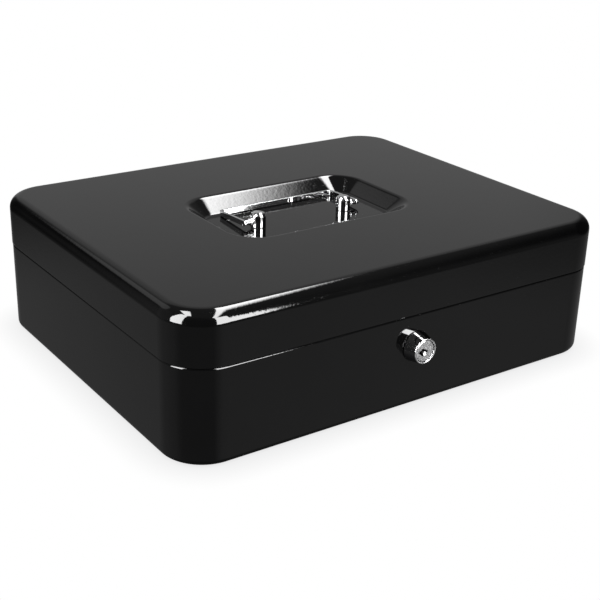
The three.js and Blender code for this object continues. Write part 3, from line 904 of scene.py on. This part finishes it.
def lid_strike():
    """Bent sheet behind the front wall, with a hanging leg and a ledge at its foot."""
    low = cad_box("lid_strike")[0]
    sheet = 1.2
    leg_y = low.y + 2.4  # front face of the hanging leg
    ledge = low.z + sheet
    # y, z
    profile = [
        (-119.1, 64.6), (-119.1, 76.5), (-119.1 + sheet, 76.5), (-119.1 + sheet, 66.0),
        (leg_y + sheet, 65.2), (leg_y + sheet, ledge), (-100.6, ledge),
        (-100.6, ledge - sheet), (leg_y, ledge - sheet), (leg_y, 64.6),
    ]
    strike = prism(round_poly(profile, 0.5, 4), "X", 12, 21, "lid_strike_skin")
    bevel(strike, 0.15)
    finish_piece(strike, "lid", ZINC)


def lock():
    lock_body()
    lock_nut()
    lock_plug()
    wafers()
    lock_cam()
    cam_screw()
    lid_strike()


# ---------------------------------------------------------------- hinges and tray ledges
# Web from leaf to barrel: y, z
BASE_WEB = [
    (117.8, 50), (118.8, 50), (118.8, 53.2), (120.4, 55.1), (120.6, 57), (118.7, 57),
    (117.8, 54),
]
LID_WEB = [
    (118.0, 64), (118.0, 60), (118.7, 57), (120.6, 57), (120.4, 58.9), (119.0, 60.8),
    (119.0, 64),
]
# Knuckles: start and end along X from the hinge middle
BASE_KNUCKLES = ((-HINGE_HALF, -10.15), (10.15, HINGE_HALF))
LID_KNUCKLES = ((-9.85, 9.85),)


def hinge_leaf(name, rider, x, y_span, z_span, web, knuckles):
    """Flat leaf with its share of the barrel, bored for the pin."""
    leaf = block((x - HINGE_HALF, x + HINGE_HALF), y_span, z_span, name)
    for start, end in knuckles:
        join(leaf, prism(web, "X", x + start, x + end))
        join(leaf, prism(circle(HINGE_AXIS, BARREL_R), "X", x + start, x + end))
    cut(leaf, prism(circle(HINGE_AXIS, 1.2, 40), "X", x - 30, x + 30))
    bevel(leaf, 0.14)
    finish_piece(leaf, rider, ENAMEL)


def hinge_pin(side, x):
    """Pin with a head at each end."""
    # radius, distance from the hinge middle
    profile = [
        (0, -20.85), (1.6, -20.85), (1.6, -20.1), (1.05, -20.1),
        (1.05, 20.1), (1.6, 20.1), (1.6, 20.85), (0, 20.85),
    ]
    rounded = [(radius, x + out) for radius, out in round_poly(profile, 0.22, 4, closed=False)]
    pin = lathe("hinge_pin_skin_" + side, rounded, "X", HINGE_AXIS, steps=40)
    finish_piece(pin, "base", ZINC)


def tray_ledge(side, sign):
    """Angle strip on an end wall."""
    # distance from the middle of the box, z
    angle = [(141.9, 54), (147.8, 54), (147.8, 44), (148.8, 44), (148.8, 55), (141.9, 55)]
    outline = round_poly([(sign * out, z) for out, z in angle], 0.3, 3)
    ledge = prism(outline, "Y", -80, 80, "tray_ledge_skin_" + side)
    bevel(ledge, 0.15)
    finish_piece(ledge, "base", ENAMEL)


def hinges_and_ledges():
    for side, sign in SIDES:
        x = sign * HINGE_X
        hinge_leaf(
            "hinge_base_leaf_skin_" + side, "base", x,
            y_span=(117.8, 118.8), z_span=(38, 53), web=BASE_WEB, knuckles=BASE_KNUCKLES,
        )
        hinge_leaf(
            "hinge_lid_leaf_skin_" + side, "lid", x,
            y_span=(118.0, 119.0), z_span=(61.4, 76), web=LID_WEB, knuckles=LID_KNUCKLES,
        )
        hinge_pin(side, x)
        tray_ledge(side, sign)


# ---------------------------------------------------------------- coin tray
def hollow_top(grow):
    """Outer skins end inside the flange, cutters where the rounded mouth starts."""
    return FLANGE_Z + 0.5 if grow else TRAY_TOP - MOUTH_R


def mouth(outline):
    """Rounded edge of an opening, then on up clear of the tray."""
    rings = []
    for k in range(1, 6):
        a = math.radians(80) * k / 5
        z = TRAY_TOP - MOUTH_R + MOUTH_R * math.sin(a)
        rings.append(offset(outline, MOUTH_R * (1 - math.cos(a)), z))
    last = rings[-1][:3]
    return rings + [offset(last, 0.2, TRAY_TOP + 0.08), offset(last, 0.2, TRAY_TOP + 3)]


def scoop(x, grow):
    """Round-bottomed coin column: the cutter, or the outer skin if grown by the wall."""
    half_width, front_y, back_y = 21.5, -93.0, -5.0
    half_length = (back_y - front_y) / 2
    curve_r = (half_length * half_length + TRAY_DEPTH**2) / (2 * TRAY_DEPTH)
    centre_z = TRAY_BOTTOM + curve_r
    radius = curve_r + grow
    fillet = 3.5 + grow
    first = 0.03
    last = math.acos((centre_z - hollow_top(grow)) / radius)
    rings = []
    for k in range(17):
        a = first + (last - first) * k / 16
        z = centre_z - radius * math.cos(a)
        length = 2 * radius * math.sin(a)
        rise = z - (TRAY_BOTTOM - grow)
        inset = 0
        if rise < fillet:
            inset = fillet * (1 - math.sqrt(1 - ((fillet - rise) / fillet) ** 2))
        width = 2 * (half_width + grow - inset)
        rings.append((width, length, min(4 + grow, 0.49 * length), z))
    if not grow:
        rings += mouth(rings[-1][:3])
    return loft(rings, arc_steps=6, centre=(x, (front_y + back_y) / 2), support=0.3)


def well(x, grow):
    """Flat-bottomed compartment at the back: the cutter, or the outer skin if grown."""
    outline = offset((90, 98, 8), grow, 0)[:3]
    fillet = 4.0 + grow
    rings = []
    for a in quarter(7):
        z = TRAY_BOTTOM - grow + fillet * (1 - math.cos(a))
        rings.append(offset(outline, -fillet * (1 - math.sin(a)), z))
    rings.append(offset(outline, 0, hollow_top(grow)))
    if not grow:
        rings += mouth(outline)
    return loft(rings, arc_steps=8, centre=(x, 55), support=0.3)


def flange():
    """Plate of the tray, with a low rolled bead round its edge."""
    rings = [offset(TRAY_OUTLINE, -1.2, FLANGE_Z)]
    for a in quarter(4):
        rings.append(
            offset(TRAY_OUTLINE, -0.6 * (1 - math.sin(a)), FLANGE_Z + 0.6 * (1 - math.cos(a)))
        )
    bead_width, bead_rise, bead_start = 2.6, 0.7, 0.35
    for k in range(9):
        share = k / 8
        if share < 0.5:
            climb = (bead_start + bead_rise) * math.sin(PI * share * 0.5)
            z = TRAY_TOP - bead_start + climb
        else:
            z = TRAY_TOP + bead_rise * (0.5 + 0.5 * math.cos(PI * (share - 0.5) * 2)) * 0.99
        rings.append(offset(TRAY_OUTLINE, -bead_width * share, z))
    rings.append(offset(TRAY_OUTLINE, -3.2, TRAY_TOP))
    return loft(rings, "coin_tray_skin", arc_steps=16)


def coin_tray():
    """Flange with a row of scoops in front and a row of wells behind."""
    piece = flange()
    for combine, grow in ((join, TRAY_WALL), (cut, 0)):
        for x in SCOOP_XS:
            combine(piece, scoop(x, grow))
        for x in WELL_XS:
            combine(piece, well(x, grow))
    # notch in the front edge
    notch = [(52, 60, 6, FLANGE_Z - 5), (52, 60, 6, TRAY_TOP + 3)]
    cut(piece, loft(notch, arc_steps=10, centre=(2, -127.5)))
    finish_piece(piece, "tray", PLASTIC, sharp=40)


lid()
base()
handle()
lock()
hinges_and_ledges()
coin_tray()


# ---------------------------------------------------------------- studio
# Soft ellipses in the surroundings, in degrees: azimuth (0 towards -Y, positive towards +X),
# elevation, half-width, half-height; then strength
PATCHES = {
    "back_right": (147.0, 19.0, 42.0, 34.0, 0.25),
    "front_left": (-37.0, 8.0, 40.0, 42.0, 0.045),
    "right": (84.0, 14.0, 44.0, 32.0, 0.9),
    "back": (-166.0, 4.0, 22.0, 26.0, 0.85),
    "back_left": (-128.0, 12.0, 24.0, 30.0, 0.06),
    "floor_front": (24.0, -23.0, 26.0, 22.0, 0.07),
    "floor_front_left": (-40.0, -23.0, 52.0, 30.0, 0.35),
    "floor_back_left": (-150.0, -27.0, 26.0, 16.0, 0.10),
    "high_card": (-157.0, 36.0, 16.0, 12.0, 0.45),
}
LIGHT_RADIANCE = 19.0


def surroundings(azimuth, elevation):
    """Quiet walls and floor, lightened and darkened by the patches."""

    def patch(name, within=None):
        middle, height, half_width, half_height, strength = PATCHES[name]
        turn = azimuth - middle
        turn = (turn + 540.0).math("MODULO", 360.0) - 180.0
        across = turn / half_width
        rise = (elevation - height) / half_height
        ellipse = (across * across + rise * rise).step(off=1.35, on=0.5)
        if within is not None:
            ellipse = within * ellipse
        return ellipse * strength

    # walls: level, and the lift towards the ceiling
    walls = 0.10 + elevation.step(off=20, on=60) * 0.03
    walls = walls + patch("back_right")
    walls = walls - patch("front_left")
    walls = walls * (1.0 - patch("right"))
    walls = walls * (1.0 - patch("back"))
    walls = walls + patch("back_left")
    # floor: level straight below, and the lift farther out
    down = elevation.step(off=-17.0, on=-23.0)
    farther = elevation.step(off=-62.0, on=-28.0)
    ground = 0.06 + farther * 0.13
    ground = ground + patch("floor_front", within=farther)
    ground = ground * (1.0 - patch("floor_front_left"))
    ground = ground * (1.0 - patch("floor_back_left"))
    return walls * (1.0 - down) + ground * down + patch("high_card")


def front_box(x, y, z):
    """Tall soft box on the plane y = -1."""
    scale = 1.0 / (y * -1.0).math("MAXIMUM", 0.05)
    across, height = x * scale, z * scale
    box = across.band(0.03, 0.60, soft=0.012) * height.band(-0.16, 0.87, soft=0.015)
    return box * y.step(off=-0.05, on=-0.12)


def left_box(x, y, z):
    """Tall soft box on the plane x = -1, its back edge leaning forward towards the top."""
    scale = 1.0 / (x * -1.0).math("MAXIMUM", 0.05)
    forward, height = y * -1.0 * scale, z * scale
    back_edge = -0.25 + height.step(off=0.3, on=1.0) * 0.07
    box = (forward - back_edge).step(off=-0.012, on=0.012) * forward.step(off=0.289, on=0.265)
    return box * height.band(-0.17, 1.40, soft=0.015) * x.step(off=-0.05, on=-0.12)


def ceiling_strips(x, y, z):
    """Two oblongs on the plane z = 1."""
    scale = 1.0 / z.math("MAXIMUM", 0.05)
    ceiling_x, ceiling_y = x * scale, y * scale
    soft = 0.015

    def strip(centre, turn, along, low_half, high_half, low_soft=soft):
        out_x, out_y = ceiling_x - centre[0], ceiling_y - centre[1]
        cos, sin = math.cos(math.radians(turn)), math.sin(math.radians(turn))
        length = out_x * cos + out_y * sin
        side = out_y * cos - out_x * sin
        above = z.step(off=0.04, on=0.1)
        low_edge = side.step(off=-low_half - low_soft, on=-low_half + low_soft)
        across = low_edge * side.step(off=high_half + soft, on=high_half - soft)
        return above * (length.band(*along, soft) * across)

    first = strip(
        centre=(0.355, -0.301), turn=72.4, along=(-0.87, 0.87),
        low_half=0.1025, high_half=0.13, low_soft=0.0725,
    )
    second = strip(
        centre=(-0.286, 0.255), turn=49.0, along=(-0.605, 0.1),
        low_half=0.119, high_half=0.119,
    )
    return first.math("MAXIMUM", second)


def environment(graph, direction):
    """Radiance of the studio in a direction."""
    x, y, z = graph.separate(direction)
    degrees = 180 / PI
    azimuth = x.math("ARCTAN2", y * -1.0) * degrees
    elevation = z.math("ARCSINE") * degrees
    quiet = surroundings(azimuth, elevation)
    front = front_box(x, y, z)
    boxes = left_box(x, y, z).math("MAXIMUM", front)
    lights = boxes.math("MAXIMUM", ceiling_strips(x, y, z))
    return quiet + lights * LIGHT_RADIANCE


def studio_world():
    """The studio lights the box, while the camera sees plain white."""
    world = bpy.data.worlds.new("studio")
    scene.world = world
    world.use_nodes = True
    graph = Graph(world.node_tree)
    direction = graph.node("ShaderNodeTexCoord", output="Generated")
    radiance = environment(graph, direction)
    white = (1, 1, 1, 1)
    studio = graph.node("ShaderNodeBackground", {"Color": white, "Strength": radiance})
    plain = graph.node("ShaderNodeBackground", {"Color": white, "Strength": 1.0})
    seen = graph.node("ShaderNodeLightPath", output="Is Camera Ray")
    mixed = graph.node("ShaderNodeMixShader", {0: seen, 1: studio, 2: plain})
    graph.finish("ShaderNodeOutputWorld", mixed)
    world.cycles.sampling_method = "MANUAL"
    world.cycles.sample_map_resolution = 2048


def stage_floor():
    """Plain pale floor that glows evenly, with a soft contact shadow painted into its colour by
    ambient occlusion.
    """
    bm = bmesh.new()
    bmesh.ops.create_grid(bm, x_segments=8, y_segments=8, size=14.0)
    mesh = bpy.data.meshes.new("floor")
    bm.to_mesh(mesh)
    bm.free()
    ground = bpy.data.objects.new("floor", mesh)
    ground.location.z = -0.0002  # just under the box
    scene.collection.objects.link(ground)
    pale = bpy.data.materials.new("pale_floor")
    pale.use_nodes = True
    graph = Graph(pale.node_tree)
    reach = {"Distance": 0.022}
    # painted contact shadow: the glowing colour darkens where ambient occlusion finds the box
    # close by
    openness = graph.node("ShaderNodeAmbientOcclusion", reach, "AO", samples=16)
    shade = openness.math("POWER", 1.6)
    colour = shade.colours(low=(0.80, 0.80, 0.803), high=(1.0, 1.0, 1.0))
    emission = graph.node("ShaderNodeEmission", {"Color": colour, "Strength": 1.0})
    graph.finish("ShaderNodeOutputMaterial", emission)
    mesh.materials.append(pale)
    ground.visible_glossy = False
    ground.visible_diffuse = False
    ground.visible_shadow = False


def camera():
    """Camera in front of the box, to its left and above, looking back along `back`."""
    yaw, pitch, roll = map(math.radians, (-35.2705, 23.0205, 1.6502))
    back = Vector(
        (math.sin(yaw) * math.cos(pitch), -math.cos(yaw) * math.cos(pitch), math.sin(pitch))
    )
    level_right = Vector((math.cos(yaw), math.sin(yaw), 0))
    level_up = back.cross(level_right)
    right = math.cos(roll) * level_right + math.sin(roll) * level_up
    up = -math.sin(roll) * level_right + math.cos(roll) * level_up
    # millimetres from a point in the middle of the box
    place = Vector((0, 0, 45)) + 2.3063 * right - 21.2786 * up + 744.1456 * back
    lens = bpy.data.cameras.new("camera")
    lens.sensor_width = 36.0
    lens.lens = 69.772548
    lens.clip_start = 0.01
    lens.clip_end = 60.0
    viewer = bpy.data.objects.new("camera", lens)
    scene.collection.objects.link(viewer)
    turn = Matrix((right, up, back)).transposed().to_4x4()
    viewer.matrix_world = Matrix.Translation(place * MM) @ turn
    scene.camera = viewer


studio_world()
stage_floor()
camera()
scene.view_settings.view_transform = "Standard"
scene.view_settings.look = "None"
